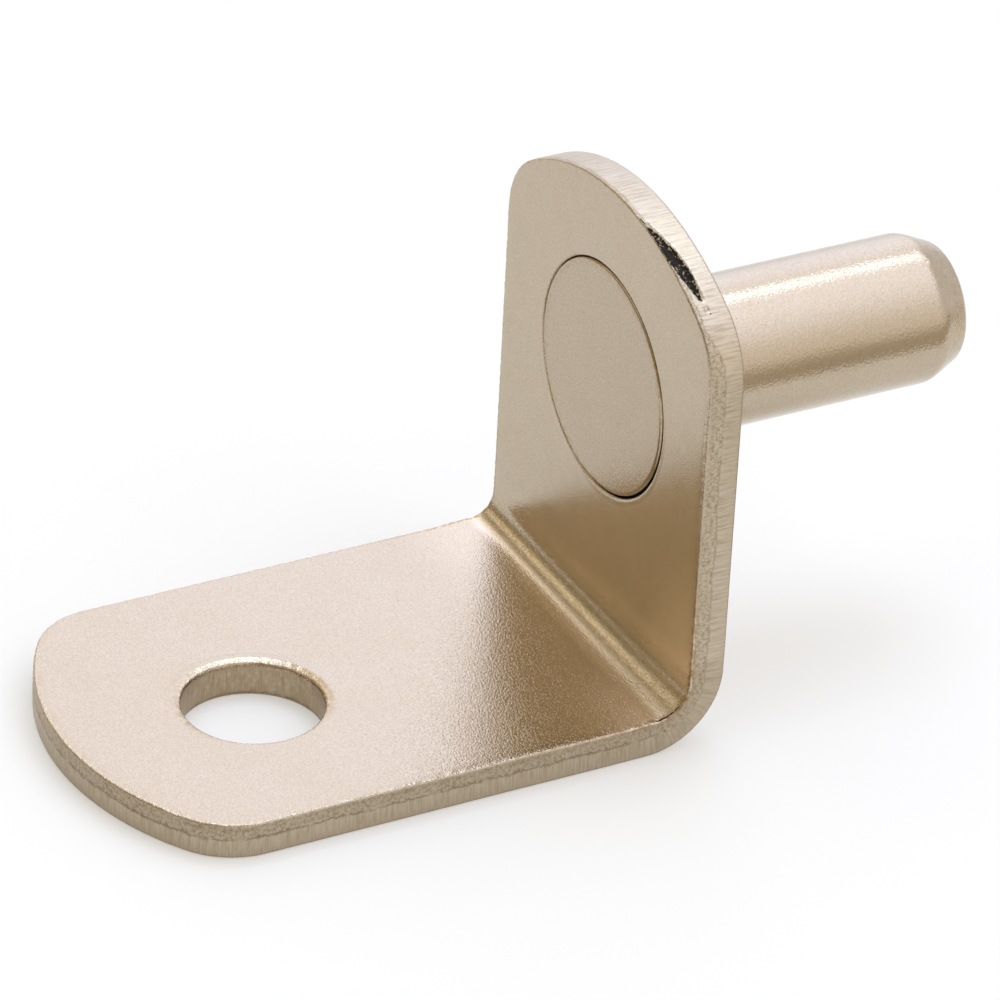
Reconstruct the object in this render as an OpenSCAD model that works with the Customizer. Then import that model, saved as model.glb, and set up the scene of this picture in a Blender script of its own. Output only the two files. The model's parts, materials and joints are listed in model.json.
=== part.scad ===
// Angled shelf support: a folded steel bracket with a headed steel pin fixed through it.
// The pin points along +Y and +Z is up. The origin is where the pin's axis meets the bracket's back face.

/* [Strip] */
// Width of the strip that the bracket is folded from
strip_w = 13.5; // [11:0.1:18]
// Thickness of the strip
strip_t = 1.2; // [1:0.1:2]
// Radius of the broad curve across each end of the strip
end_r = 10; // [9:0.5:20]
// Radius of the two corners beside each broad curve
corner_r = 2.7; // [1:0.1:4]
// Radius that the press leaves along the edges of the inner face
rolled_r = 0.15; // [0.1:0.01:0.25]

/* [Fold] */
// Radius inside the fold
fold_inner_r = 0.9; // [0.5:0.1:1.5]
// Radius outside the fold
fold_outer_r = 2.6; // [1.5:0.1:3]

/* [Legs] */
// Length of the arm, from the back face to the tip
arm_l = 20; // [18:0.5:30]
// Height of the pin's axis above the underside of the arm
pin_height = 10; // [9:0.5:14]
// Height of the upright's top above the pin's axis
top_above_pin = 6.8; // [6:0.1:10]

/* [Screw hole] */
// Diameter of the screw hole in the arm
hole_d = 4.6; // [3:0.1:5]
// Distance of the screw hole from the back face
hole_from_back = 13.5; // [12:0.5:15]
// Distance of the screw hole from the middle of the strip
hole_aside = 0.45; // [0:0.05:1]

/* [Pin] */
// Diameter of the pin
pin_d = 5; // [4:0.1:6.4]
// Length of the pin beyond the back face
pin_l = 11.2; // [8:0.1:16]
// Length of the taper at the pin's free end
taper_l = 1.1; // [0.6:0.1:1.6]
// How much narrower the taper makes the pin's diameter
taper_loss = 1; // [0.4:0.1:1.6]
// Radius between the pin's straight side and its taper
shoulder_r = 1; // [0.3:0.1:2]
// Radius between the taper and the flat end
tip_r = 0.3; // [0.1:0.05:0.5]
// How much wider than the pin its neck is, where the bracket grips it
neck_gain = 0.4; // [0.35:0.05:0.7]
// Clearance round the neck in the bracket
neck_gap = 0.01; // [0.005:0.005:0.03]

/* [Head] */
// Diameter of the pin's head
head_d = 7.8; // [7.2:0.1:8.6]
// Thickness of the head
head_t = 0.6; // [0.4:0.05:0.7]
// Radius round the head's face and round the mouth of its recess
head_edge_r = 0.1; // [0.05:0.01:0.15]
// Clearance round the head in its recess
head_gap = 0.05; // [0.03:0.01:0.1]

/* [Hidden] */
$fn = 96;
spare = 1;
plated_steel = [0.78, 0.73, 0.66];

arm_underside = -pin_height;
arm_face = arm_underside + strip_t;
inner_face = -strip_t;
fold_y = inner_face - fold_inner_r;
fold_z = arm_face + fold_inner_r;
recess_floor = inner_face + head_t;
recess_r = head_d / 2 + head_gap;
neck_r = (pin_d + neck_gain) / 2;

// The corners at the end of a leg touch both its straight sides and its broad curve.
corner_x = strip_w / 2 - corner_r;
corner_y = end_r - sqrt(pow(end_r - corner_r, 2) - pow(corner_x, 2));
corner_turn = atan2(end_r - corner_y, corner_x);

// Metal that is lost along an edge when it is rounded. The edge is at [0, 0], and the metal lies left and below.
module edge_waste(r) {
    difference() {
        translate([-r, -r]) square(r + spare);
        translate([-r, -r]) circle(r);
    }
}

// What lies outside a cut edge, through the strip's thickness
module outside_waste() {
    edge_waste(rolled_r);
    translate([0, -strip_t - spare]) square([strip_w, strip_t + 2 * spare]);
}

// What is lost round the rim of a hole when it is rounded. The rim is at z = 0, and the metal lies below.
module rim_waste(hole_r, r, turn = 360) {
    rotate_extrude(angle = turn) difference() {
        translate([0, -r]) square([hole_r + r, r + spare]);
        translate([hole_r + r, -r]) circle(r);
    }
}

// What is cut from a leg. Its tip is at the origin, it runs along +Y, and its inner face is at z = 0.
module leg_waste(straight_end) {
    translate([0, end_r]) rotate(180) rotate_extrude(angle = 180) translate([end_r, 0]) outside_waste();
    for (side = [0, 1]) mirror([side, 0, 0]) {
        translate([corner_x, corner_y]) rotate(-corner_turn)
            rotate_extrude(angle = corner_turn) translate([corner_r, 0]) outside_waste();
        translate([strip_w / 2, straight_end]) rotate([90, 0, 0])
            linear_extrude(straight_end + spare) edge_waste(rolled_r);
    }
}

// What the rounded edges lose round the inside of the fold
module fold_waste() {
    for (side = [0, 1]) mirror([side, 0, 0]) translate([strip_w / 2, fold_y, fold_z])
        rotate([90, 0, 90]) rotate(-90) rim_waste(fold_inner_r, rolled_r, 90);
}

// The L section of the folded strip, with Y across the page and Z up it
module section() {
    height = pin_height + top_above_pin;
    difference() {
        translate([-arm_l, arm_underside]) square([arm_l, height]);
        difference() {
            translate([-arm_l - spare, arm_face]) square([arm_l + spare - strip_t, height]);
            difference() {
                translate([fold_y, fold_z - fold_inner_r - spare]) square(fold_inner_r + spare);
                translate([fold_y, fold_z]) circle(fold_inner_r);
            }
        }
        difference() {
            translate([-fold_outer_r, arm_underside - spare]) square(fold_outer_r + spare);
            translate([-fold_outer_r, arm_underside + fold_outer_r]) circle(fold_outer_r);
        }
    }
}

module bracket() {
    color(plated_steel) difference() {
        rotate([90, 0, 90]) linear_extrude(strip_w, center = true) section();
        translate([0, -arm_l, arm_face]) leg_waste(arm_l + fold_y);
        translate([0, inner_face, top_above_pin]) rotate([90, 180, 0]) leg_waste(top_above_pin - fold_z);
        fold_waste();
        translate([hole_aside, -hole_from_back, arm_face]) {
            translate([0, 0, -strip_t - spare]) cylinder(h = strip_t + 2 * spare, d = hole_d);
            rim_waste(hole_d / 2, rolled_r);
        }
        rotate([90, 0, 0]) {
            translate([0, 0, -spare]) cylinder(h = strip_t + 2 * spare, r = neck_r + neck_gap);
            translate([0, 0, -recess_floor]) cylinder(h = head_t + spare, r = recess_r);
            translate([0, 0, -inner_face]) rim_waste(recess_r, head_edge_r);
        }
    }
}

// What a rounded corner of an outline loses. The outline comes to the corner at [0, 0] on heading_in,
// turns left there and leaves on heading_out.
module corner_waste(heading_in, heading_out, r) {
    half_turn = (heading_out - heading_in) / 2;
    touch = r * tan(half_turn);
    inward = (heading_in + heading_out) / 2 + 90;
    difference() {
        polygon([
            -touch * [cos(heading_in), sin(heading_in)],
            -spare * [cos(inward), sin(inward)],
            touch * [cos(heading_out), sin(heading_out)]
        ]);
        translate(r / cos(half_turn) * [cos(inward), sin(inward)]) circle(r);
    }
}

// Half of the pin's outline, with its axis up the page and its free end at the top
module pin_outline() {
    end_d = pin_d - taper_loss;
    taper_heading = 90 + atan2(taper_loss / 2, taper_l);
    difference() {
        union() {
            translate([0, inner_face]) square([head_d / 2, head_t]);
            translate([0, inner_face]) square([neck_r, strip_t]);
            polygon([
                [0, 0],
                [pin_d / 2, 0],
                [pin_d / 2, pin_l - taper_l],
                [end_d / 2, pin_l],
                [0, pin_l]
            ]);
        }
        translate([head_d / 2, inner_face]) mirror([0, 1]) edge_waste(head_edge_r);
        translate([pin_d / 2, pin_l - taper_l]) corner_waste(90, taper_heading, shoulder_r);
        translate([end_d / 2, pin_l]) corner_waste(taper_heading, 180, tip_r);
    }
}

module pin() {
    color(plated_steel) rotate([-90, 0, 0]) rotate_extrude() pin_outline();
}

bracket();
pin();
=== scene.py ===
"""Angled shelf support: a folded, nickel-plated steel strip with a headed pin fixed through its upright.

Lengths in this script are in millimetres until a mesh is made, and the frame is in metres.
"""

import json
import math

import bpy
import numpy as np
from mathutils import Matrix, Vector, noise
from mathutils.geometry import delaunay_2d_cdt


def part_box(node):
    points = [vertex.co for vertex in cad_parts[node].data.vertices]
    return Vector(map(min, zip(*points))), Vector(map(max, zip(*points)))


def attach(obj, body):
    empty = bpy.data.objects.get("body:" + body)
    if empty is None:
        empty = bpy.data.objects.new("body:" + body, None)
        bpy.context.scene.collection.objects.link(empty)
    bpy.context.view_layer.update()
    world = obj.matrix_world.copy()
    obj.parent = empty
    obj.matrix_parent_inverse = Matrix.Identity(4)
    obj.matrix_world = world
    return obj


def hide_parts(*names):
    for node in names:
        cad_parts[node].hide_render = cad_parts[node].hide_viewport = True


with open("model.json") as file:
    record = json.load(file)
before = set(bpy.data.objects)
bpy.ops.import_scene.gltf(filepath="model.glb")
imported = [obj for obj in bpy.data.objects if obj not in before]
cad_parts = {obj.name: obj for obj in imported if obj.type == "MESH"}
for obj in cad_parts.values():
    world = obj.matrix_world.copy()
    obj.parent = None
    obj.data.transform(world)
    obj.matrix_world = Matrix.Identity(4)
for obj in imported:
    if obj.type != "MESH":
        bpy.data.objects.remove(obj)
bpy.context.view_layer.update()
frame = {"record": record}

MM = 0.001
QUARTER = math.pi / 2

# ---- sizes that the frame gives ----

mounts = {m["name"]: m for m in frame["record"]["mounts"]}
bracket_low, bracket_high = (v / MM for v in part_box("bracket"))
pin_low, pin_high = (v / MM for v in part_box("pin"))
HALF_WIDTH = bracket_high.x
UNDERSIDE = bracket_low.z
TOP = bracket_high.z
ARM_TIP = bracket_low.y
STRIP_T = -pin_low.y
ARM_FACE = UNDERSIDE + STRIP_T
HEAD_R = pin_high.x
PIN_R = mounts["pin"]["dims"]["r_mm"]
PIN_END = pin_high.y
HOLE_R = mounts["screw_hole"]["dims"]["r_mm"]
HOLE_X = mounts["screw_hole"]["pos_m"][0] / MM
# The hole's distance from the arm's tip
HOLE_S = mounts["screw_hole"]["pos_m"][1] / MM - ARM_TIP

# ---- radii and small sizes of the solids ----

END_R = 10.0
CORNER_R = 2.7
FOLD_INNER_R = 0.9
FOLD_OUTER_R = 2.6
HEAD_T = 0.6
HEAD_EDGE_R = 0.1
RECESS_R = HEAD_R + 0.05
NECK_R = PIN_R + 0.2
NECK_GAP = 0.01
TAPER_L = 1.1
TAPER_LOSS = 0.5
SHOULDER_R = 1.0
TIP_R = 0.3

# ---- small sizes that only the visible pieces have ----

# The inner face's worn edge
EDGE_R = 0.06
# The screw hole's rim slopes in before its round, and its bare wall starts at this depth.
RIM_SLOPE, RIM_R, RIM_WIDTH = 0.3, 0.15, 0.29
BARE_DEPTH = 0.17
# The punch raised the rim on one side.
BURR = 0.05
BURR_SIDE = math.radians(150)
# The fold's inner radius halfway across the strip, and how much it grows per millimetre towards +X
FOLD_R = FOLD_INNER_R + 0.07
FOLD_FLARE = 0.028
# The head sits a little off the middle of its recess.
HEAD_ASIDE = (-0.04, 0.004)
# The faces lie this far inside the solid.
SKIN = 0.0005
FLOOR_GAP = 0.03

# A dent at the top edge, painted near-black as a painted dark reflection: x where it starts and ends, depth
# at both, half its width
DARK_PIT = {"x": (1.5, 5.2), "depth": (0.06, 0.46), "half": 0.24}

# ---- spacing of the vertices ----

OUTLINE_SPACING, OUTLINE_FOLD_SPACING = 0.11, 0.055
HOLE_SPACING = 0.09
INNER_SPACING, INNER_FOLD_SPACING = 0.32, 0.06
OUTER_SPACING, OUTER_FOLD_SPACING = 0.6, 0.12
BAND_WIDTH = 0.75
PIN_SEGMENTS = 192

# ---- the strip laid flat: x runs across it, s along it from the arm's tip ----

ARM_FLAT = -FOLD_OUTER_R - ARM_TIP
LEAD = FOLD_OUTER_R - STRIP_T - FOLD_INNER_R
FOLD_LENGTH = 2 * LEAD + FOLD_INNER_R * QUARTER
FOLD_MIDDLE = ARM_FLAT + FOLD_LENGTH / 2
STRIP_L = ARM_FLAT + FOLD_LENGTH + TOP - UNDERSIDE - FOLD_OUTER_R
PIN_S = STRIP_L - TOP
# Where the small round of each corner has its middle, and the turn at which it meets the end's round
CORNER_X = HALF_WIDTH - CORNER_R
CORNER_S = END_R - math.sqrt((END_R - CORNER_R) ** 2 - CORNER_X ** 2)
CORNER_TURN = math.atan2(END_R - CORNER_S, CORNER_X)


def folded(s, depth, inner_r):
    """Y and Z of points of the flat strip. depth goes in from the inner face, up to STRIP_T."""
    past = s - ARM_FLAT
    turn = np.clip(past / FOLD_LENGTH, 0, 1)
    lead = FOLD_OUTER_R - STRIP_T - inner_r
    along = turn * (2 * lead + inner_r * QUARTER)
    angle = np.clip((along - lead) / inner_r, 0, QUARTER)
    inner_y = np.minimum(along, lead) - FOLD_OUTER_R + inner_r * np.sin(angle)
    inner_z = ARM_FACE + inner_r * (1 - np.cos(angle)) + np.maximum(along - lead - inner_r * QUARTER, 0)
    outer_y = FOLD_OUTER_R * (np.sin(turn * QUARTER) - 1)
    outer_z = UNDERSIDE + FOLD_OUTER_R * (1 - np.cos(turn * QUARTER))
    share = depth / STRIP_T
    y = inner_y + (outer_y - inner_y) * share + np.minimum(past, 0)
    z = inner_z + (outer_z - inner_z) * share + np.maximum(past - FOLD_LENGTH, 0)
    return y, z


# ---- smooth noise and steps ----

def wave(x, y, z, size):
    """Smooth noise, about -1 to 1, with features of that size. On the strip, z picks the pattern."""
    return noise.noise(Vector((x, y, z)) / size)


def ease(x):
    """Smooth step from 0 at 0 to 1 at 1."""
    x = min(max(x, 0.0), 1.0)
    return x * x * (3 - 2 * x)


def near(x, middle, reach):
    """1 at the middle, falling smoothly to 0 at that reach."""
    return ease(1 - abs(x - middle) / reach)


# ---- edge loops of the flat strip ----

def arc(middle_x, middle_s, radius, start, end, spacing):
    """Points and outward normals along an arc, without its last point. Angles turn from +x to +s."""
    steps = max(2, round(abs(end - start) * radius / spacing))
    rows = []
    for i in range(steps):
        a = start + (end - start) * i / steps
        normal = (math.cos(a), math.sin(a))
        rows.append((middle_x + radius * normal[0], middle_s + radius * normal[1], *normal))
    return rows


def by_fold(s):
    """Whether s lies in the fold or just beside it, where the vertices are closer together."""
    return abs(s - FOLD_MIDDLE) < FOLD_LENGTH / 2 + 0.3


def straight_side(spacing, fold_spacing):
    """Points and outward normals up the strip's +X side, closer together round the fold."""
    rows, s = [], CORNER_S
    while s < STRIP_L - CORNER_S - spacing / 2:
        rows.append((HALF_WIDTH, s, 1.0, 0.0))
        s += fold_spacing if by_fold(s) else spacing
    return rows


def outline_loop(spacing, fold_spacing):
    """The strip's outline, anticlockwise from the middle of the arm's tip."""
    right = arc(0, END_R, END_R, -QUARTER, -CORNER_TURN, spacing)
    right += arc(CORNER_X, CORNER_S, CORNER_R, -CORNER_TURN, 0, spacing)
    right += straight_side(spacing, fold_spacing)
    right += arc(CORNER_X, STRIP_L - CORNER_S, CORNER_R, 0, CORNER_TURN, spacing)
    right += arc(0, STRIP_L - END_R, END_R, CORNER_TURN, QUARTER, spacing)
    top = (0.0, STRIP_L, 0.0, 1.0)
    left = [(-x, s, -nx, ns) for x, s, nx, ns in reversed(right[1:])]
    return np.array(right + [top] + left)


def hole_loop(middle_x, middle_s, radius, spacing):
    """A round hole's rim, clockwise. Its normals point out of the metal, to the hole's middle."""
    rows = np.array(arc(middle_x, middle_s, radius, 4 * QUARTER, 0, spacing))
    rows[:, 2:] *= -1
    return rows


def running_length(loop):
    """Length along a loop from its first point to each point."""
    steps = np.hypot(*(np.roll(loop[:, :2], -1, axis=0) - loop[:, :2]).T)
    return np.concatenate([[0], np.cumsum(steps)[:-1]])


def outline_inset(x, s):
    """How far inside the outline a point lies, or a little less near the corners."""
    x, s = abs(x), min(s, STRIP_L - s)
    inset = min(HALF_WIDTH - x, END_R - math.hypot(x, s - END_R))
    if x > CORNER_X and s < CORNER_S:
        inset = min(inset, CORNER_R - math.hypot(x - CORNER_X, s - CORNER_S))
    return inset


# ---- sections through the edges: (inset, depth) from the inner face round to the outer face ----

def rounded(radius, steps):
    """Section of the inner face's rolled edge."""
    return [(radius * (1 - math.sin(a)), radius * (1 - math.cos(a)))
            for a in np.linspace(0, QUARTER, steps + 1)]


def edge_section(face_insets, rim, wall_rows, outer_round=0.03):
    """Section over the inner face, a rim, the wall and the outer face."""
    rows = [(inset, 0.0) for inset in face_insets] + rim
    rows += [(0.0, d) for d in np.linspace(rim[-1][1], STRIP_T - outer_round, wall_rows + 1)[1:]]
    rows += [(outer_round * 0.3, STRIP_T - outer_round * 0.3), (outer_round, STRIP_T)]
    rows += [(inset, STRIP_T) for inset in (0.2, 0.45, 0.7)]
    return rows


def hole_rim(slope, radius, width):
    """Section of the screw hole's rim: a slope, then a round of that radius into the wall."""
    start = math.atan(slope)
    inset = radius * (1 - math.sin(start))
    drop = slope * (width - inset)
    rows = [(width, 0.004), (width - 0.04, 0.012)]
    rows += [(x, slope * (width - x)) for x in np.linspace(width - 0.09, inset + 0.03, 4)]
    rows += [(radius * (1 - math.sin(a)), drop + radius * (math.cos(start) - math.cos(a)))
             for a in np.linspace(start, QUARTER, 10)]
    return rows


OUTLINE_SECTION = edge_section((0.6, 0.45, 0.33, 0.24, 0.17, 0.12, 0.09), rounded(EDGE_R, 6), 16)
HOLE_SECTION = edge_section((0.75, 0.65, 0.56, 0.49, 0.43, 0.38), hole_rim(RIM_SLOPE, RIM_R, RIM_WIDTH), 14)
BORE_INSET = NECK_R + NECK_GAP - RECESS_R
RECESS_SECTION = (
    [(inset, 0.0) for inset in (0.4, 0.25, 0.16)] + rounded(HEAD_EDGE_R, 5)
    + [(0.0, 0.35), (0.0, HEAD_T - 0.02), (-0.02, HEAD_T)]
    + [(BORE_INSET + 0.4, HEAD_T), (BORE_INSET + 0.02, HEAD_T), (BORE_INSET, HEAD_T + 0.02)]
    + [(BORE_INSET, STRIP_T - 0.03), (BORE_INSET + 0.03, STRIP_T)]
    + [(BORE_INSET + 0.2, STRIP_T), (BORE_INSET + 0.4, STRIP_T)]
)


# ---- how shearing and folding leave the edges ----

def dark_pit(x, s, depth):
    """1 in the middle of the dent in the top edge, which is painted as a dark reflection, 0 at its rim and
    less outside.
    """
    (start, end), (first, last), half = DARK_PIT["x"], DARK_PIT["depth"], DARK_PIT["half"]
    if s < PIN_S or depth < 0.03 or not start - 0.5 < x < end + 0.5:
        return -1.0
    t = (x - start) / (end - start)
    width = half * (math.sin(math.pi * min(max(t, 0.0), 1.0) ** 1.35) + 0.02)
    off = abs(depth - first - (last - first) * t) / width + 4 * max(-t, t - 1, 0)
    tail = 0.25 - math.hypot((x - end - 0.3) / 0.3, (depth - last - 0.05) / 0.2)
    return max(1 - off, tail, -1.0)


def crack_shade(x, s, depth):
    """Painted shade: 1 along a short dark line painted in the inner edge, at the fold's +X end, and less
    beside it.
    """
    beside = abs(HALF_WIDTH - x - 0.09) / 0.04 if depth < 0.1 else 9.0
    return max(0.75 - beside - 3 * max(0.0, abs(s - FOLD_MIDDLE + 0.4) - 0.4), -1.0)


def outline_wear(x, s, inset, depth):
    """How far a point of the outline's section moves in and down, how bare it is, and its level.

    The level is the depth past the tear line. The blank was sheared from the outer face: burnished
    there, torn and rougher towards the inner face.
    """
    on_wall = ease((0.3 - inset) / 0.2)
    at_top = ease((s - STRIP_L + 3.1) / 1.2) * ease((s - STRIP_L + 4.18) / 2.2)
    line = 0.56 + 0.07 * wave(x, s, 3, 0.9) + 0.06 * wave(x, s, 7, 0.25)
    line -= 0.42 * at_top
    torn = ease((line - depth) / 0.05 + 0.5)
    ragged = 0.5 + 0.5 * wave(x * 1.7, s * 1.7, depth * 3, 0.3)
    extra = torn * (0.012 + 0.024 * ragged) + (1 - torn) * 0.006 * (1 + wave(x, s, 1, 0.16))
    extra += 0.12 * ease(dark_pit(x, s, depth) * 2)
    # Folding pushes the side out along the fold's inside, and draws it in along its outside.
    fold = near(s, FOLD_MIDDLE, 2.2) if abs(x) > HALF_WIDTH - 1 else 0.0
    side = 0.03 + 0.01 * wave(x, s, 11, 4)
    extra += side * (1 - fold * (1 - depth / STRIP_T)) + 0.03 * fold * depth / STRIP_T
    droop = 0.026 * max(0.0, 1 - inset / 0.42) ** 2 * (1 - ease(depth / 0.4))
    nicks = 0.022 * wave(x * 1.3, s * 1.3, 5, 0.2) * ease((0.25 - inset) / 0.15) * (1 - ease(depth / 0.12))
    bare = on_wall * ease((depth - 0.02) / 0.05)
    return extra * on_wall, droop + nicks, bare, depth - line


def hole_wear(x, s, inset, depth):
    """As outline_wear, for the screw hole, which was punched from the inner face."""
    on_wall = ease((0.3 - inset) / 0.2)
    line = 1.11 + 0.05 * wave(x, s, 3, 0.3)
    torn = ease((depth - line) / 0.04 + 0.5)
    extra = 0.004 * (1 + wave(x, s, 1, 0.14)) + 0.02 * torn
    side = ease(0.2 + math.cos(math.atan2(s - HOLE_S, x - HOLE_X) - BURR_SIDE))
    on_rim = 1 - ease((depth - 0.15) / 0.2)
    lift = on_rim * (BURR * side * ease((0.68 - inset) / 0.32) + 0.6 * (1 - side) * depth)
    nicks = 0.018 * wave(x * 1.3, s * 1.3, 5, 0.17) * ease((0.45 - inset) / 0.2)
    nicks *= 1 - ease((depth - 0.12) / 0.1)
    return extra * on_wall, nicks - lift, on_wall * ease((depth - BARE_DEPTH) / 0.04), line - depth


def recess_wear(x, s, inset, depth):
    """As outline_wear, for the recess round the pin's head."""
    droop = 0.006 * max(0.0, 1 - max(inset, 0) / 0.4) ** 2 * (1 - ease(depth / 0.3))
    in_wall = ease((depth - 0.05) / 0.2) if depth < STRIP_T - 0.01 else 0.0
    return 0.0, droop, in_wall, 1.0


def fold_lift(x, s):
    """How far the inner face rises beside the fold's ends."""
    to_end = ease((abs(x) - 2.5) / 4.0)
    return to_end * 0.05 * ease((s - FOLD_MIDDLE + 2.3) / 1.7) * ease((FOLD_MIDDLE + 1.0 - s) / 1.4)


def strain_and_sheen(x, s):
    """How far bending has roughened the arm's face before the fold, which also sets part of a painted sheen
    there: most at the fold's ends.
    """
    to_end = ease((abs(x) - 1.5) / 4.5)
    return near(s, FOLD_MIDDLE - 1.2, 2.6) * (0.3 + 0.7 * to_end) * ease((FOLD_MIDDLE - 0.35 - s) / 0.3)


def pale_sheen(x, s):
    """Painted sheen: where the face is painted paler to stand for brighter reflections, along the fold's arm
    side and round its +X end.
    """
    line = 0.75 * near(s + 0.03 * (x + 3), FOLD_MIDDLE - 0.6, 0.55)
    from_end = HALF_WIDTH - x
    on_arm = ease(1 - math.hypot(from_end / 5.2, (s - FOLD_MIDDLE + 0.8) / 3.6))
    on_upright = 0.85 * ease(1 - math.hypot(from_end / 3.8, (s - FOLD_MIDDLE - 1.2) / 4.8))
    on_arm *= ease((FOLD_MIDDLE - 0.35 - s) / 0.3)
    on_upright *= ease((s - FOLD_MIDDLE - 0.3) / 0.4)
    return max(line, on_arm, on_upright)


def crease_shade(x, s):
    """Painted shade: two darker lines painted along the fold, a little earlier towards +X."""
    along = x + 3
    first = near(s + 0.018 * along, FOLD_MIDDLE - 0.28, 0.16) * min(1 - 0.01 * along, 1)
    second = near(s + 0.024 * along, FOLD_MIDDLE + 0.24, 0.25) * min(max(0.3 + 0.12 * along, 0.2), 1)
    return max(first, second)


def stain_and_shade(x, s, depth):
    """Painted shade in brown along the inner edges beside the fold and at the screw hole's two ends along s,
    and a brown tint round the hole's rim.
    """
    on_top = 1 - ease((depth - 0.08) / 0.1)
    at_sides = near(s, FOLD_MIDDLE + 0.4, 7) * ease((abs(x) - HALF_WIDTH + 0.24) / 0.1)
    from_hole = math.hypot(x - HOLE_X, s - HOLE_S) - HOLE_R
    by_hole = near(from_hole, 0.0, 0.4) * ((s - HOLE_S) / (HOLE_R + from_hole)) ** 4
    round_hole = 0.5 * near(from_hole, 0.0, 0.1)
    return max(max(at_sides, by_hole) * on_top, round_hole)


# ---- mesh building ----

class Shell:
    """Vertices in the flat strip, with what the material needs to know about each, and the faces.

    run is the length along the edge, bare is 1 on sheared metal, level is below 0 where that metal is torn,
    and rim is 1 at a wall's inner edge.
    """

    LAYERS = ("depth", "run", "bare", "level", "rim")

    def __init__(self):
        self.rows, self.faces = [], []

    def add(self, x, s, depth, run=0.0, bare=0.0, level=1.0, rim=0.0):
        self.rows.append((x, s, depth, run, bare, level, rim))
        return len(self.rows) - 1

    def band(self, loop, section, wear):
        """Sweeps a section round a loop. Returns the first and last rings of vertices."""
        runs = running_length(loop)
        rings = []
        for inset, depth in section:
            ring = []
            for (x, s, nx, ns), run in zip(loop, runs):
                more, deeper, bare, level = wear(x, s, inset, depth)
                rim = ease(1 - inset / 0.25) * (1 - ease((depth - 0.1) / 0.15))
                at = (x - nx * (inset + more), s - ns * (inset + more), depth + deeper)
                ring.append(self.add(*at, run, bare, level, rim))
            rings.append(ring)
        count = len(loop)
        for a, b in zip(rings, rings[1:]):
            for i in range(count):
                j = (i + 1) % count
                self.faces.append((a[i], b[i], b[j], a[j]))
        return rings[0], rings[-1]

    def cover(self, outer, holes, points, depth, up):
        """Fills between an outer ring and hole rings with triangles over the given inner points."""
        rings = [outer] + holes
        ids = [v for ring in rings for v in ring]
        flat = [Vector(self.rows[v][:2]) for v in ids]
        edges, start = [], 0
        for ring in rings:
            edges += [(start + i, start + (i + 1) % len(ring)) for i in range(len(ring))]
            start += len(ring)
        for x, s in points:
            ids.append(self.add(x, s, depth))
            flat.append(Vector((x, s)))
        where, _, triangles, sources, _, _ = delaunay_2d_cdt(flat, edges, [], 0, 1e-6)
        names = [ids[source[0]] for source in sources]
        limits = [np.array([self.rows[v][:2] for v in ring]) for ring in rings]
        for triangle in triangles:
            middle = sum((where[i] for i in triangle), Vector((0, 0))) / 3
            if not inside(limits[0], middle) or any(inside(limit, middle) for limit in limits[1:]):
                continue
            face = [names[i] for i in triangle]
            self.faces.append(tuple(face if up else reversed(face)))


def inside(ring, point):
    """Whether a point lies inside a ring, by counting the sides that cross its row."""
    x, y = ring[:, 0], ring[:, 1]
    x2, y2 = np.roll(x, -1), np.roll(y, -1)
    crosses = (y > point.y) != (y2 > point.y)
    with np.errstate(divide="ignore", invalid="ignore"):
        at = x + (point.y - y) / (y2 - y) * (x2 - x)
    return bool(np.count_nonzero(crosses & (point.x < at)) % 2)


def face_points(spacing, fold_spacing, pin_reach):
    """Inner points of a face: a grid, closer together along s round the fold."""
    points, s, row = [], 0.7, 0
    while s < STRIP_L - 0.6:
        x = -HALF_WIDTH + 0.8 + (row % 2) * spacing / 2
        while x < HALF_WIDTH - BAND_WIDTH:
            off_hole = math.hypot(x - HOLE_X, s - HOLE_S) > HOLE_R + BAND_WIDTH + 0.2
            off_pin = math.hypot(x, s - PIN_S) > pin_reach
            if outline_inset(x, s) > BAND_WIDTH and off_hole and off_pin:
                points.append((x, s))
            x += spacing
        s += fold_spacing if by_fold(s) else spacing
        row += 1
    return points


def make_object(name, vertices, faces, attributes):
    """A smooth-shaded mesh object from vertices in millimetres, with named numbers on its vertices."""
    mesh = bpy.data.meshes.new(name)
    mesh.from_pydata([tuple(c * MM for c in v) for v in vertices], [], faces)
    mesh.validate()
    mesh.update()
    for key, values in attributes.items():
        layer = mesh.attributes.new(key, "FLOAT", "POINT")
        layer.data.foreach_set("value", np.asarray(values, np.float32))
    mesh.shade_smooth()
    obj = bpy.data.objects.new(name, mesh)
    bpy.context.scene.collection.objects.link(obj)
    return obj


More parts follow.
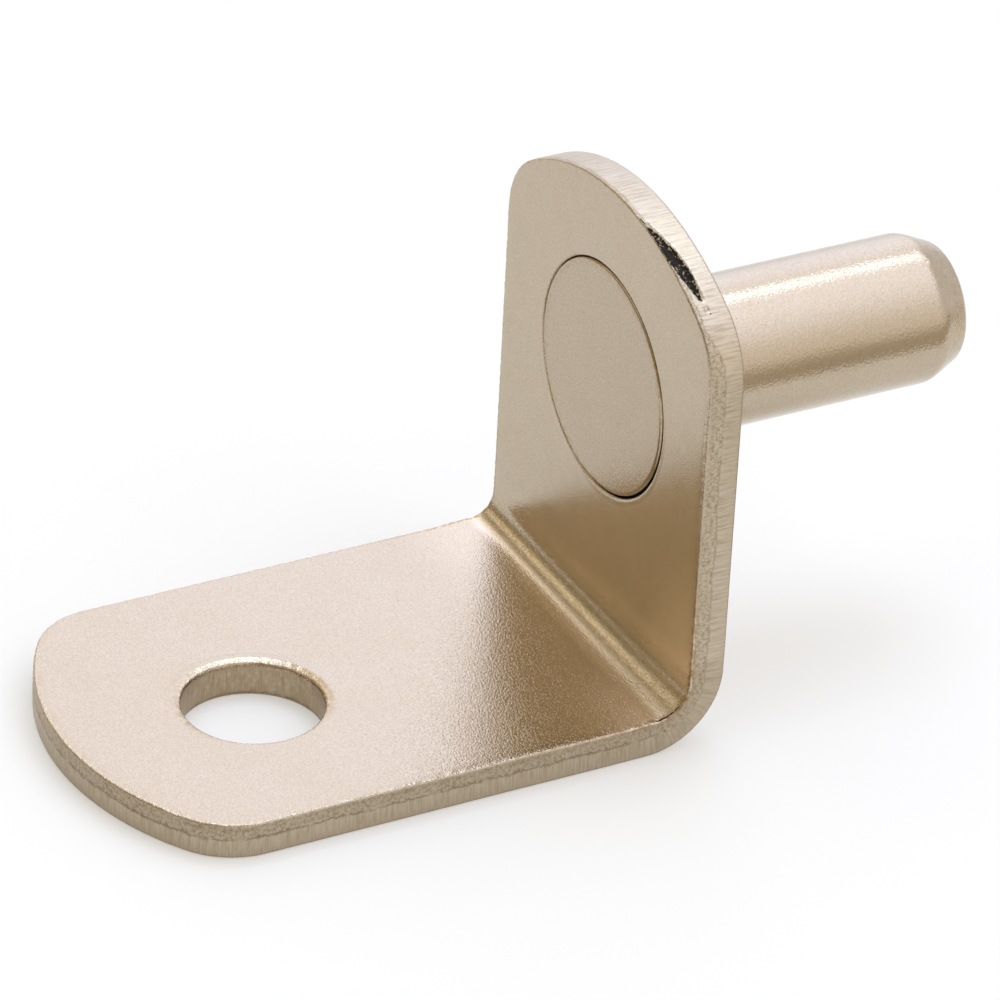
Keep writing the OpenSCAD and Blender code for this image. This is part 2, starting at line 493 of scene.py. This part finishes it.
def build_bracket():
    """Sweeps the edges, fills both faces, then folds the strip."""
    shell = Shell()
    outline = outline_loop(OUTLINE_SPACING, OUTLINE_FOLD_SPACING)
    hole = hole_loop(HOLE_X, HOLE_S, HOLE_R, HOLE_SPACING)
    recess = hole_loop(0, PIN_S, RECESS_R, OUTLINE_SPACING)
    rim_in, rim_out = shell.band(outline, OUTLINE_SECTION, outline_wear)
    hole_in, hole_out = shell.band(hole, HOLE_SECTION, hole_wear)
    pin_in, pin_out = shell.band(recess, RECESS_SECTION, recess_wear)
    inner = face_points(INNER_SPACING, INNER_FOLD_SPACING, RECESS_R + 0.6)
    outer = face_points(OUTER_SPACING, OUTER_FOLD_SPACING, NECK_R + 0.6)
    shell.cover(rim_in, [hole_in, pin_in], inner, 0.0, True)
    shell.cover(rim_out, [hole_out, pin_out], outer, STRIP_T, False)
    rows = np.array(shell.rows)
    # The press leaves the faces a few micrometres out of flat, and the fold lifts its inside at both ends.
    out_of_flat = np.array([0.0022 * wave(x, s, 20, 3.5) + 0.003 - fold_lift(x, s) for x, s in rows[:, :2]])
    out_of_flat *= 1 - rows[:, 2] / STRIP_T
    pressed = np.minimum(rows[:, 2] + out_of_flat + SKIN, STRIP_T - SKIN)
    y, z = folded(rows[:, 1], pressed, FOLD_R + FOLD_FLARE * rows[:, 0])
    y = np.maximum(y, ARM_TIP)
    vertices = np.column_stack([rows[:, 0], y, z])
    attributes = {name: rows[:, i] for i, name in enumerate(Shell.LAYERS, start=2)}
    attributes["strain_and_sheen"] = [strain_and_sheen(x, s) for x, s in rows[:, :2]]
    attributes["pale_sheen"] = [pale_sheen(x, s) for x, s in rows[:, :2]]
    attributes["crease_shade"] = [crease_shade(x, s) for x, s in rows[:, :2]]
    attributes["bent"] = [near(s, FOLD_MIDDLE, 2.6) for s in rows[:, 1]]
    attributes["stain_and_shade"] = [stain_and_shade(x, s, depth) for x, s, depth in rows[:, :3]]
    attributes["pit_shade"] = [max(dark_pit(x, s, depth), crack_shade(x, s, depth)) for x, s, depth in rows[:, :3]]
    return make_object("bracket_sheet", vertices, shell.faces, attributes)


# ---- the pin ----

def fillet(before, corner, after, radius, steps):
    """Points of the round that replaces a corner of an outline."""
    before, corner, after = (Vector(p) for p in (before, corner, after))
    into, out = (corner - before).normalized(), (after - corner).normalized()
    turn = into.angle(out)
    reach = radius * math.tan(turn / 2)
    start = corner - into * reach
    side = Vector((-into.y, into.x))
    if side.dot(out) < 0:
        side = -side
    middle = start + side * radius
    return [tuple(middle + (into * math.sin(a) - side * math.cos(a)) * radius)
            for a in (turn * i / steps for i in range(steps + 1))]


def pin_profile():
    """(radius, y) from the middle of the head's face to the middle of the free end."""
    face, shoulder = -STRIP_T, PIN_END - TAPER_L
    end_r = PIN_R - TAPER_LOSS
    rows = [(r, face) for r in (0.15, 0.5, 1.0, 1.6, 2.2, 2.8, 3.2, 3.5, 3.65, 3.75)]
    rows += fillet((0, face), (HEAD_R, face), (HEAD_R, 0), HEAD_EDGE_R, 6)
    rows += [(HEAD_R, face + HEAD_T - 0.02), (HEAD_R - 0.02, face + HEAD_T), (NECK_R, face + HEAD_T)]
    rows += [(NECK_R, -0.02), (NECK_R - 0.02, 0.0), (NECK_R - 0.04, 0.0)]
    rows += [(PIN_R + 0.04, 0.0), (PIN_R + 0.02, 0.0), (PIN_R, 0.02), (PIN_R, 0.04)]
    rows += [(PIN_R, y) for y in np.linspace(0.2, shoulder - 0.5, 60)]
    rows += fillet((PIN_R, 0), (PIN_R, shoulder), (end_r, PIN_END), SHOULDER_R, 12)
    rows += fillet((PIN_R, shoulder), (end_r, PIN_END), (0, PIN_END), TIP_R, 10)
    rows += [(r, PIN_END) for r in (1.45, 1.2, 0.9, 0.6, 0.3)]
    return rows


def build_pin():
    """Turns the profile round the pin's axis, with a slightly uneven surface."""
    vertices, faces, rings = [], [], []
    for r, y in pin_profile():
        ring = []
        for k in range(PIN_SEGMENTS):
            a = 4 * QUARTER * k / PIN_SEGMENTS
            cx, cz = math.cos(a), math.sin(a)
            less = 0.004 * (1 + wave(cx * 2, y * 0.5, cz * 2, 1.3)) if y > 0.1 else 0.0
            sink = 0.003 + 0.002 * wave(cx * r, cz * r, 31, 2.5) if y < -STRIP_T + 0.01 else 0.0
            aside_x, aside_z = HEAD_ASIDE if r > NECK_R + 0.1 else (0.0, 0.0)
            ring.append(len(vertices))
            vertices.append(((r - less) * cx + aside_x, y + sink - (0.003 if y > PIN_END - 0.01 else 0),
                             (r - less) * cz + aside_z))
        rings.append(ring)
    for a, b in zip(rings, rings[1:]):
        for k in range(PIN_SEGMENTS):
            j = (k + 1) % PIN_SEGMENTS
            faces.append((a[k], a[j], b[j], b[k]))
    faces.append(tuple(reversed(rings[0])))
    faces.append(tuple(rings[-1]))
    on_head = [1.0 if v[1] < -STRIP_T / 2 else 0.0 for v in vertices]
    return make_object("pin_body", vertices, faces, {"head": on_head})


# ---- materials ----

class Nodes:
    """Short ways to add nodes to a tree."""

    def __init__(self, tree):
        self.tree = tree

    def add(self, kind, settings=(), **inputs):
        """A new node. Inputs go by their names, or by number as i0, i1 and so on."""
        node = self.tree.nodes.new(kind)
        for key, value in dict(settings).items():
            setattr(node, key, value)
        for key, value in inputs.items():
            by_number = key[0] == "i" and key[1:].isdigit()
            self.set(node.inputs[int(key[1:]) if by_number else key], value)
        return node

    def set(self, socket, value):
        if isinstance(value, bpy.types.NodeSocket):
            self.tree.links.new(value, socket)
        else:
            socket.default_value = value

    def math(self, operation, a, b=0.0, c=0.0, clamp=False):
        node = self.add("ShaderNodeMath", {"operation": operation, "use_clamp": clamp}, i0=a, i1=b, i2=c)
        return node.outputs[0]

    def mix(self, share, a, b):
        """Mix of two numbers."""
        node = self.add("ShaderNodeMix", {"data_type": "FLOAT"}, i0=share, i2=a, i3=b)
        return node.outputs[0]

    def tint(self, share, a, b):
        """Mix of two colours."""
        node = self.add("ShaderNodeMix", {"data_type": "RGBA"}, i0=share, i6=a, i7=b)
        return node.outputs[2]

    def step(self, value, low, high, to_low=0.0, to_high=1.0):
        """Smooth step of a number between two limits."""
        node = self.add("ShaderNodeMapRange", {"interpolation_type": "SMOOTHSTEP"}, i0=value)
        for i, v in enumerate((low, high, to_low, to_high), start=1):
            node.inputs[i].default_value = v
        return node.outputs[0]

    def noise(self, vector, size_mm, detail=2.0, rough=0.5):
        """Noise about 0.5 with features of that size."""
        node = self.add("ShaderNodeTexNoise", {}, Vector=vector, Scale=1 / (size_mm * MM), Detail=detail,
                        Roughness=rough)
        return node.outputs[0]

    def attribute(self, name):
        return self.add("ShaderNodeAttribute", {"attribute_name": name}).outputs["Fac"]

    def vector(self, x, y, z):
        return self.add("ShaderNodeCombineXYZ", {}, X=x, Y=y, Z=z).outputs[0]


def colour(r, g, b):
    return (r, g, b, 1.0)


NICKEL = colour(0.53, 0.445, 0.332)
NICKEL_WARM = colour(0.51, 0.422, 0.305)
SHEARED_PALE = colour(0.54, 0.462, 0.35)
SHEARED_DARK = colour(0.40, 0.325, 0.225)
# Brown for marks and torn metal, also used for painted shade
BROWNED_AND_SHADE = colour(0.23, 0.165, 0.095)
# Rust brown on torn metal, also used for painted shade
RUST_AND_SHADE = colour(0.35, 0.225, 0.105)
# Painted sheen: the paler tone that stands for brighter reflections by the fold
PAINTED_SHEEN = colour(0.75, 0.635, 0.51)
# Painted shade along the fold's lines
CREASE_SHADE = colour(0.27, 0.23, 0.175)
# Painted dark reflection and shade
PAINTED_BLACK = colour(0.03, 0.026, 0.02)


def new_material(name):
    material = bpy.data.materials.new(name)
    material.use_nodes = True
    material.node_tree.nodes.clear()
    return material, Nodes(material.node_tree)


def new_metal(name):
    """A metal's material, its nodes, its shader and the object's own coordinates."""
    material, n = new_material(name)
    shader = n.add("ShaderNodeBsdfPrincipled", {}, Metallic=1.0)
    n.add("ShaderNodeOutputMaterial", {}, Surface=shader.outputs[0])
    place = n.add("ShaderNodeTexCoord").outputs["Object"]
    return material, n, shader, place


def bump(n, height, micrometres, normal=None):
    """A normal bent by a height from 0 to 1 that stands for so many micrometres."""
    inputs = {"Strength": 1.0, "Distance": micrometres * 1e-6, "Height": height}
    if normal is not None:
        inputs["Normal"] = normal
    return n.add("ShaderNodeBump", {}, **inputs).outputs[0]


def clouded_nickel(n, place, sand):
    """Plating whose tone drifts a little, with small stains."""
    wide = n.noise(place, 1.6, 4, 0.65)
    fine = n.noise(place, 0.22, 3, 0.6)
    tone = n.tint(n.step(wide, 0.3, 0.75, 0.0, 0.7), NICKEL, NICKEL_WARM)
    tone = n.tint(n.step(fine, 0.4, 0.85, 0.0, 0.25), tone, SHEARED_DARK)
    x, y, z = n.add("ShaderNodeSeparateXYZ", {}, Vector=place).outputs
    stretched = n.vector(n.math("MULTIPLY", x, 0.45), y, z)
    marks = n.math("MULTIPLY", n.step(n.noise(stretched, 0.09, 2, 0.6), 0.68, 0.78), n.step(wide, 0.42, 0.56))
    tone = n.tint(n.math("MULTIPLY", marks, 0.55), tone, BROWNED_AND_SHADE)
    grains = n.math("MULTIPLY", n.step(n.noise(place, 0.07, 2, 0.6), 0.3, 0.7), sand)
    return n.tint(grains, tone, SHEARED_DARK)


def sheared_edge(n, run, depth, level, plain, place):
    """Colour, roughness and height of the strip's sides: fine along the edge, long through the thickness."""
    along = n.math("MULTIPLY", run, MM)
    down = n.math("MULTIPLY", depth, MM)
    drawn = n.noise(n.vector(along, n.math("MULTIPLY", depth, 0.07 * MM), 0.0), 0.075, 4, 0.7)
    ragged = n.noise(n.vector(along, n.math("MULTIPLY", depth, 0.7 * MM), 0.005), 0.1, 5, 0.75)
    cobbles = n.add("ShaderNodeTexVoronoi", {"feature": "DISTANCE_TO_EDGE"}, Scale=1 / (0.24 * MM),
                    Vector=n.vector(along, down, n.math("MULTIPLY", ragged, 0.3 * MM)))
    patches = n.step(n.noise(place, 1.1, 3, 0.6), 0.42, 0.6)
    line = n.math("ADD", level, n.math("MULTIPLY_ADD", ragged, 0.34, -0.17))
    torn = n.step(line, 0.02, -0.02)
    lip_and_shade = n.step(n.math("ABSOLUTE", n.math("ADD", line, 0.01)), 0.055, 0.0)
    lip_and_shade = n.math("MULTIPLY", lip_and_shade, n.step(n.noise(place, 0.45, 2, 0.5), 0.32, 0.5))
    lip_and_shade = n.math("MULTIPLY", lip_and_shade, plain)
    seams = n.step(cobbles.outputs["Distance"], 0.09, 0.0)
    seams = n.math("MULTIPLY", seams, n.math("MULTIPLY", patches, plain))
    burnished = n.tint(n.step(drawn, 0.38, 0.7), SHEARED_PALE, SHEARED_DARK)
    rough_tone = n.tint(n.step(ragged, 0.42, 0.62), SHEARED_PALE, SHEARED_DARK)
    rough_tone = n.tint(n.math("MULTIPLY", n.step(ragged, 0.54, 0.68), 0.6), rough_tone, RUST_AND_SHADE)
    rough_tone = n.tint(n.math("MULTIPLY", n.step(ragged, 0.62, 0.72), 0.45), rough_tone, BROWNED_AND_SHADE)
    rough_tone = n.tint(n.math("MULTIPLY", seams, 0.3), rough_tone, BROWNED_AND_SHADE)
    tone = n.tint(torn, burnished, rough_tone)
    # Painted shade: a brown line along the tear, where the wall steps, which also sinks a little.
    tone = n.tint(n.math("MULTIPLY", lip_and_shade, 0.65), tone, BROWNED_AND_SHADE)
    # The far edge is browned, and ragged.
    far = n.step(n.math("MULTIPLY_ADD", ragged, 0.12, depth), STRIP_T, STRIP_T + 0.04)
    tone = n.tint(n.math("MULTIPLY", far, 0.6), tone, BROWNED_AND_SHADE)
    rough = n.mix(torn, n.step(drawn, 0.3, 0.7, 0.28, 0.4), n.step(ragged, 0.3, 0.7, 0.34, 0.55))
    cobbled = n.math("SUBTRACT", ragged, n.math("MULTIPLY", seams, 0.25))
    relief = n.mix(torn, n.math("MULTIPLY", drawn, 0.5), cobbled)
    relief = n.math("SUBTRACT", relief, n.math("MULTIPLY", lip_and_shade, 0.4))
    return tone, rough, relief


def sheet_material():
    """Grained plate on the faces, sheared metal on the sides, what bending changes, brown tints, and painted
    shade and sheen.
    """
    material, n, shader, place = new_metal("nickel_sheet")
    run, depth, bare, level = (n.attribute(name) for name in ("run", "depth", "bare", "level"))
    rim, roughened_and_sheen, stain_and_shade_share, pit_shade = (n.attribute(name) for name in ("rim", "strain_and_sheen", "stain_and_shade", "pit_shade"))
    x, y, z = n.add("ShaderNodeSeparateXYZ", {}, Vector=place).outputs
    on_arm = n.step(z, (ARM_FACE + 2.2) * MM, (ARM_FACE + 1.2) * MM)
    specks = n.step(n.noise(place, 0.13, 2, 0.5), 0.72, 0.78)
    face = n.tint(n.math("MULTIPLY", specks, 0.5), clouded_nickel(n, place, 0.6), BROWNED_AND_SHADE)
    plain = n.math("MULTIPLY_ADD", n.attribute("bent"), -0.75, n.mix(on_arm, 0.55, 1.0))
    plain = n.math("MAXIMUM", plain, 0.1)
    edge, rough_edge, relief = sheared_edge(n, run, depth, level, plain, place)
    # Painted shade: the arm's sheared sides, low by the floor, are painted a little browner.
    edge = n.tint(n.math("MULTIPLY", on_arm, 0.2), edge, BROWNED_AND_SHADE)
    # Painted sheen: the face is painted paler by the fold and round its +X end, where reflections are
    # brighter.
    bright = n.math("MAXIMUM", n.math("MULTIPLY", roughened_and_sheen, 0.35), n.attribute("pale_sheen"))
    face = n.tint(bright, face, PAINTED_SHEEN)
    # Painted shade: darker lines painted along the fold.
    face = n.tint(n.math("MULTIPLY", n.attribute("crease_shade"), 0.46), face, CREASE_SHADE)
    tone = n.tint(bare, face, edge)
    mottle = n.noise(place, 0.22, 4, 0.7)
    # Painted shade in brown beside the fold's edges and at the hole's ends, with a brown tint round the
    # hole's rim.
    brown_and_shade = n.math("MULTIPLY", stain_and_shade_share, n.step(mottle, 0.36, 0.58))
    tone = n.tint(n.math("MULTIPLY", brown_and_shade, 0.9), tone, RUST_AND_SHADE)
    # Painted dark reflection and shade: the dent at the top and the line at the fold's +X end are painted
    # near-black, with painted glints of paler metal.
    pit_and_shade = n.step(n.math("ADD", pit_shade, n.math("MULTIPLY_ADD", mottle, 1.3, -0.65)), 0.04, 0.12)
    glints = n.step(n.noise(place, 0.1, 2, 0.5), 0.6, 0.66)
    n.set(shader.inputs["Base Color"], n.tint(pit_and_shade, tone, n.tint(glints, PAINTED_BLACK, SHEARED_DARK)))
    rough_face = n.step(n.noise(place, 0.9, 4, 0.6), 0.3, 0.7, 0.09, 0.14)
    rough_face = n.mix(on_arm, n.math("ADD", rough_face, 0.13), rough_face)
    rough_face = n.math("MULTIPLY_ADD", roughened_and_sheen, 0.13, rough_face)
    rough = n.mix(bare, rough_face, rough_edge)
    n.set(shader.inputs["Roughness"], n.mix(pit_and_shade, rough, 0.6))
    share = n.math("MULTIPLY_ADD", rim, 2.5, n.math("ADD", n.mix(on_arm, 0.36, 1.0), roughened_and_sheen))
    peel = bump(n, n.math("MULTIPLY", n.noise(place, 0.34, 2, 0.5), share), 1.8)
    grain = bump(n, n.math("MULTIPLY", n.noise(place, 0.066, 2, 0.55), share), 9, peel)
    # Fine draw lines across the strip catch the light one by one.
    lines = n.noise(n.vector(n.math("MULTIPLY", x, 0.4), y, z), 0.05, 2, 0.6)
    lines = n.math("MULTIPLY", n.step(lines, 0.5, 0.72), on_arm)
    relief = n.math("MULTIPLY_ADD", lines, 0.1, n.math("MULTIPLY", relief, bare))
    n.set(shader.inputs["Normal"], bump(n, relief, 26, grain))
    return material


def pin_material():
    """Bright plate with a slight orange peel, duller on the head."""
    material, n, shader, place = new_metal("nickel_pin")
    head = n.attribute("head")
    x, y, z = n.add("ShaderNodeSeparateXYZ", {}, Vector=place).outputs
    from_middle = n.math("SQRT", n.math("ADD", n.math("MULTIPLY", x, x), n.math("MULTIPLY", z, z)))
    specks = n.step(n.noise(place, 0.13, 2, 0.5), 0.70, 0.77)
    tone = n.tint(n.math("MULTIPLY", specks, 0.45), clouded_nickel(n, place, n.mix(head, 0.45, 1.0)), BROWNED_AND_SHADE)
    # Painted shade: the head's rim and the taper are painted browner.
    mottle = n.noise(place, 0.2, 4, 0.7)
    at_rim = n.math("MULTIPLY", n.step(from_middle, (HEAD_R - 0.32) * MM, (HEAD_R - 0.1) * MM), head)
    at_taper = n.step(y, (PIN_END - TAPER_L - 0.5) * MM, (PIN_END - 0.3) * MM)
    rim_taper_shade = n.math("ADD", at_rim, n.math("MULTIPLY", at_taper, 0.5))
    rim_taper_shade = n.math("MULTIPLY", rim_taper_shade, n.step(mottle, 0.42, 0.62))
    tone = n.tint(n.math("MULTIPLY", rim_taper_shade, 0.6, clamp=True), tone, RUST_AND_SHADE)
    tone = n.tint(n.math("MULTIPLY", head, 0.25), tone, SHEARED_DARK)
    n.set(shader.inputs["Base Color"], tone)
    rough = n.step(n.noise(place, 0.8, 4, 0.6), 0.3, 0.7, 0.08, 0.12)
    n.set(shader.inputs["Roughness"], n.math("MULTIPLY_ADD", head, 0.12, rough))
    share = n.mix(head, 1.0, 0.4)
    peel = bump(n, n.math("MULTIPLY", n.noise(place, 0.3, 2, 0.5), share), 4)
    grain = bump(n, n.math("MULTIPLY", n.noise(place, 0.085, 2, 0.55), share), 11, peel)
    n.set(shader.inputs["Normal"], grain)
    return material


def floor_material():
    """White to the camera and in reflections, with the object's shadow kept."""
    material, n = new_material("white_floor")
    diffuse = n.add("ShaderNodeBsdfDiffuse", {}, Color=colour(0.58, 0.58, 0.565))
    path = n.add("ShaderNodeLightPath").outputs
    seen = n.math("ADD", path["Is Camera Ray"], path["Is Glossy Ray"])
    seen = n.math("ADD", seen, path["Is Transmission Ray"], clamp=True)
    lift = n.add("ShaderNodeEmission", {}, Color=colour(0.37, 0.365, 0.355), Strength=seen)
    both = n.add("ShaderNodeAddShader", {}, i0=diffuse.outputs[0], i1=lift.outputs[0])
    n.add("ShaderNodeOutputMaterial", {}, Surface=both.outputs[0])
    return material


def warm_card_material():
    """Dim and warm, and paler towards the top."""
    material, n = new_material("warm_card")
    place = n.add("ShaderNodeTexCoord").outputs["Object"]
    height = n.add("ShaderNodeSeparateXYZ", {}, Vector=place).outputs[2]
    tone = n.tint(n.step(height, -3.5 * MM, CARD_TOP * MM), *CARD_TONES)
    light = n.add("ShaderNodeEmission", {}, Color=tone)
    n.add("ShaderNodeOutputMaterial", {}, Surface=light.outputs[0])
    return material


# ---- studio ----

# Tones low and high in the sky, from the panel round to the front
PANEL_TONES = colour(1.2, 1.26, 1.42), colour(1.66, 1.73, 2.12)
RIGHT_TONES = colour(1.06, 0.99, 0.93), colour(1.86, 1.96, 2.38)
WARM_TONES = colour(1.36, 1.26, 1.08), colour(0.9, 0.88, 0.84)
FRONT_TONE, FRONT_HIGH_TONE = colour(0.47, 0.38, 0.235), colour(1.15, 1.15, 1.2)
BACK_TONE = colour(0.95, 0.95, 1.0)
# Small bright and dark shapes: the direction from the part, and the tone
FRONT_GLOW, FRONT_GLOW_TONE = (-0.744, -0.485, 0.455), colour(1.47, 1.33, 1.06)
LAMP, LAMP_TONE = (-0.30, 0.17, 0.94), colour(3.4, 3.9, 4.8)
CAMERA_GAP, CAMERA_GAP_TONE = (0.32, -0.18, 0.93), colour(0.04, 0.035, 0.03)
# A narrow strip overhead along Y: its angle above +X, and its tone
STRIP_ANGLE, STRIP_TONE = math.radians(112), colour(5.0, 6.0, 7.6)
# The card at the pin's right: its place, and its tones low and high
CARD_X, CARD_FRONT, CARD_BACK, CARD_TOP = 16.5, 6.4, 70, 1.0
CARD_TONES = colour(0.63, 0.55, 0.45), colour(0.95, 0.89, 0.8)


def stage_sheet(name, corners, material):
    """A flat sheet that belongs to the studio and not to the part."""
    mesh = bpy.data.meshes.new(name)
    mesh.from_pydata([tuple(c * MM for c in corner) for corner in corners], [], [(0, 1, 2, 3)])
    sheet = bpy.data.objects.new(name, mesh)
    sheet.data.materials.append(material)
    bpy.context.scene.collection.objects.link(sheet)
    return sheet


def build_floor():
    reach, z = 3000, UNDERSIDE - FLOOR_GAP
    corners = [(-reach, -reach, z), (reach, -reach, z), (reach, reach, z), (-reach, reach, z)]
    stage_sheet("floor", corners, floor_material())


def build_side_card():
    """A warm dark card low at the pin's right, which only reflections show."""
    corners = [(CARD_X, CARD_FRONT, UNDERSIDE), (CARD_X, CARD_BACK, UNDERSIDE),
               (CARD_X, CARD_BACK, CARD_TOP), (CARD_X, CARD_FRONT, CARD_TOP)]
    card = stage_sheet("side_card", corners, warm_card_material())
    card.visible_camera = False
    card.visible_diffuse = False
    card.visible_shadow = False


def glow(n, direction, towards, rim, core):
    """1 where the direction is close to another, 0 outside the rim. Both limits are cosines."""
    towards = Vector(towards).normalized()
    dot = n.add("ShaderNodeVectorMath", {"operation": "DOT_PRODUCT"}, i0=direction, i1=towards)
    return n.step(dot.outputs["Value"], rim, core)


def build_world():
    """A soft studio: a cool panel behind at the left, bright overhead, dim and warm in front."""
    world = bpy.data.worlds.new("studio")
    bpy.context.scene.world = world
    world.use_nodes = True
    tree = world.node_tree
    tree.nodes.clear()
    n = Nodes(tree)
    direction = n.add("ShaderNodeTexCoord").outputs["Generated"]
    x, y, z = n.add("ShaderNodeSeparateXYZ", {}, Vector=direction).outputs
    # Each area's tone follows the direction's height.
    height = n.math("POWER", n.math("MAXIMUM", z, 0.0), 1.7)
    right = n.tint(height, *RIGHT_TONES)
    panel = n.tint(n.step(z, -0.1, 0.45), *PANEL_TONES)
    behind = n.tint(n.step(x, -0.66, -0.5), panel, right)
    front = n.tint(glow(n, direction, FRONT_GLOW, 0.979, 0.996), FRONT_TONE, FRONT_GLOW_TONE)
    front = n.tint(n.step(z, 0.66, 0.86), front, FRONT_HIGH_TONE)
    warm = n.tint(n.step(z, 0.72, 0.85), *WARM_TONES)
    beside = n.tint(n.step(y, -0.28, 0.02), front, warm)
    sky = n.tint(n.step(y, 0.08, 0.35), beside, behind)
    sky = n.tint(n.step(y, 0.6, 0.8), sky, BACK_TONE)
    # A lamp's head high up behind at the left
    sky = n.tint(glow(n, direction, LAMP, 0.962, 0.985), sky, LAMP_TONE)
    lean = n.math("ABSOLUTE", n.math("SUBTRACT", n.math("ARCTAN2", z, x), STRIP_ANGLE))
    reach = n.math("ABSOLUTE", n.math("SUBTRACT", y, 0.4))
    strip = n.math("MULTIPLY", n.step(lean, 0.018, 0.034, 1, 0), n.step(reach, 0.3, 0.4, 1, 0))
    sky = n.tint(strip, sky, STRIP_TONE)
    # The camera and its stand: a dark shape overhead in front
    gap = n.math("MULTIPLY", glow(n, direction, CAMERA_GAP, 0.94, 0.975), 0.92)
    sky = n.tint(gap, sky, CAMERA_GAP_TONE)
    background = n.add("ShaderNodeBackground", {}, Color=sky, Strength=1.0)
    n.add("ShaderNodeOutputWorld", {}, Surface=background.outputs[0])


def build_camera():
    """The camera fitted to the photo, in degrees and millimetres, with the lens for a 36 mm sensor."""
    azimuth, elevation, roll = (math.radians(a) for a in (60.588, 31.266, 3.04))
    distance, lens = 222.945, 254.17
    aim = Vector((0, -5, 0))
    right_of_aim, above_aim = 0.123, -3.099
    back = Vector((math.sin(azimuth) * math.cos(elevation), -math.cos(azimuth) * math.cos(elevation),
                   math.sin(elevation)))
    right = (-back).cross(Vector((0, 0, 1))).normalized()
    up = right.cross(-back)
    turned_right = math.cos(roll) * right + math.sin(roll) * up
    turned_up = -math.sin(roll) * right + math.cos(roll) * up
    target = aim + turned_right * right_of_aim + turned_up * above_aim
    data = bpy.data.cameras.new("camera")
    data.lens = lens
    data.sensor_width = 36
    data.clip_start = 0.001
    camera = bpy.data.objects.new("camera", data)
    axes = Matrix((turned_right, turned_up, back)).transposed()
    camera.matrix_world = Matrix.Translation((target + back * distance) * MM) @ axes.to_4x4()
    bpy.context.scene.collection.objects.link(camera)
    bpy.context.scene.camera = camera


# ---- the scene ----

bpy.context.scene.view_settings.view_transform = "Standard"

bracket = build_bracket()
bracket.data.materials.append(sheet_material())
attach(bracket, "root")
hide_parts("bracket")

pin = build_pin()
pin.data.materials.append(pin_material())
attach(pin, "root")
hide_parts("pin")

build_floor()
build_side_card()
build_world()
build_camera()
